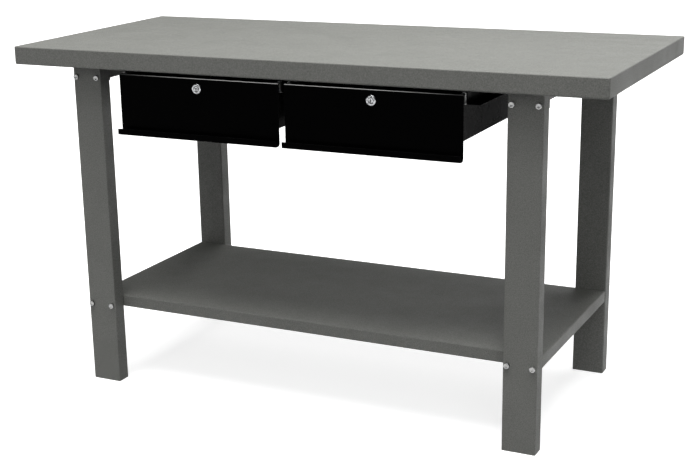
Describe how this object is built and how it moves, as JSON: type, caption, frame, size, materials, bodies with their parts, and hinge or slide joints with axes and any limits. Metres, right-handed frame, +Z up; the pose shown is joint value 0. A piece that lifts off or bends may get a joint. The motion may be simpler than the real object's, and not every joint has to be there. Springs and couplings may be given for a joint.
{
  "type": "workbench with drawers",
  "caption": "Steel workbench with a folded sheet top, four tube legs, a lower shelf and two lockable drawers side by side under the top, each on telescopic slides.",
  "frame": {"origin": "on the floor, under the middle of the bench's bounding box, drawer pulls included", "axes": "+X along the bench to its right as seen from the front, +Y to its back, +Z up; the drawers open towards -Y"},
  "size_m": [1.5, 0.691, 0.868],
  "materials": {
    "grey_paint": "finely textured powder coat",
    "black_paint": "gloss powder coat",
    "zinc_steel": "bright zinc plate",
    "chrome": "polished",
    "grey_plastic": "moulded"
  },
  "bodies": {
    "bench": {"bolt_front_left_beam_inner": "zinc_steel", "bolt_front_left_beam_outer": "zinc_steel", "bolt_front_left_shelf_inner": "zinc_steel", "bolt_front_left_shelf_outer": "zinc_steel", "bolt_front_right_beam_inner": "zinc_steel", "bolt_front_right_beam_outer": "zinc_steel", "bolt_front_right_shelf_inner": "zinc_steel", "bolt_front_right_shelf_outer": "zinc_steel", "bolt_rear_left_beam_inner": "zinc_steel", "bolt_rear_left_beam_outer": "zinc_steel", "bolt_rear_left_shelf_inner": "zinc_steel", "bolt_rear_left_shelf_outer": "zinc_steel", "bolt_rear_right_beam_inner": "zinc_steel", "bolt_rear_right_beam_outer": "zinc_steel", "bolt_rear_right_shelf_inner": "zinc_steel", "bolt_rear_right_shelf_outer": "zinc_steel", "end_beam_left": "grey_paint", "end_beam_right": "grey_paint", "foot_plug_front_left": "grey_plastic", "foot_plug_front_right": "grey_plastic", "foot_plug_rear_left": "grey_plastic", "foot_plug_rear_right": "grey_plastic", "left_inner_slide_fixed": "zinc_steel", "left_lock_catch": "black_paint", "left_outer_slide_fixed": "zinc_steel", "leg_front_left": "grey_paint", "leg_front_right": "grey_paint", "leg_rear_left": "grey_paint", "leg_rear_right": "grey_paint", "right_inner_slide_fixed": "zinc_steel", "right_lock_catch": "black_paint", "right_outer_slide_fixed": "zinc_steel", "shelf": "grey_paint", "shelf_stiffener": "grey_paint", "slide_hanger_left": "black_paint", "slide_hanger_middle": "black_paint", "slide_hanger_right": "black_paint", "top_rail_front": "grey_paint", "top_rail_rear": "grey_paint", "worktop": "grey_paint"},
    "left_drawer": {"left_drawer_tray": "black_paint", "left_drawer_front": "black_paint", "left_outer_slide_drawer": "zinc_steel", "left_inner_slide_drawer": "zinc_steel", "left_lock_barrel": "chrome", "left_lock_nut": "zinc_steel"},
    "left_slide_middles": {"left_outer_slide_middle": "zinc_steel", "left_inner_slide_middle": "zinc_steel"},
    "left_lock": {"left_lock_plug": "chrome", "left_lock_cam": "zinc_steel"},
    "right_drawer": {"right_drawer_tray": "black_paint", "right_drawer_front": "black_paint", "right_outer_slide_drawer": "zinc_steel", "right_inner_slide_drawer": "zinc_steel", "right_lock_barrel": "chrome", "right_lock_nut": "zinc_steel"},
    "right_slide_middles": {"right_outer_slide_middle": "zinc_steel", "right_inner_slide_middle": "zinc_steel"},
    "right_lock": {"right_lock_plug": "chrome", "right_lock_cam": "zinc_steel"}
  },
  "joints": [
    {"name": "left_drawer_slide", "type": "slide", "parent": "bench", "child": "left_drawer", "axis": [0, -1, 0], "range_m": [0, 0.4]},
    {"name": "left_slide_middles_slide", "type": "slide", "parent": "bench", "child": "left_slide_middles", "axis": [0, -1, 0], "range_m": [0, 0.2]},
    {"name": "left_lock_turn", "type": "hinge", "parent": "left_drawer", "child": "left_lock", "pos_m": [-0.223, -0.3265, 0.791], "axis": [0, -1, 0], "range_deg": [0, 90]},
    {"name": "right_drawer_slide", "type": "slide", "parent": "bench", "child": "right_drawer", "axis": [0, -1, 0], "range_m": [0, 0.4]},
    {"name": "right_slide_middles_slide", "type": "slide", "parent": "bench", "child": "right_slide_middles", "axis": [0, -1, 0], "range_m": [0, 0.2]},
    {"name": "right_lock_turn", "type": "hinge", "parent": "right_drawer", "child": "right_lock", "pos_m": [0.223, -0.3265, 0.791], "axis": [0, -1, 0], "range_deg": [0, 90]}
  ],
  "couplings": [
    {"joint": "left_slide_middles_slide", "follows": "left_drawer_slide", "ratio": 0.5},
    {"joint": "right_slide_middles_slide", "follows": "right_drawer_slide", "ratio": 0.5}
  ]
}
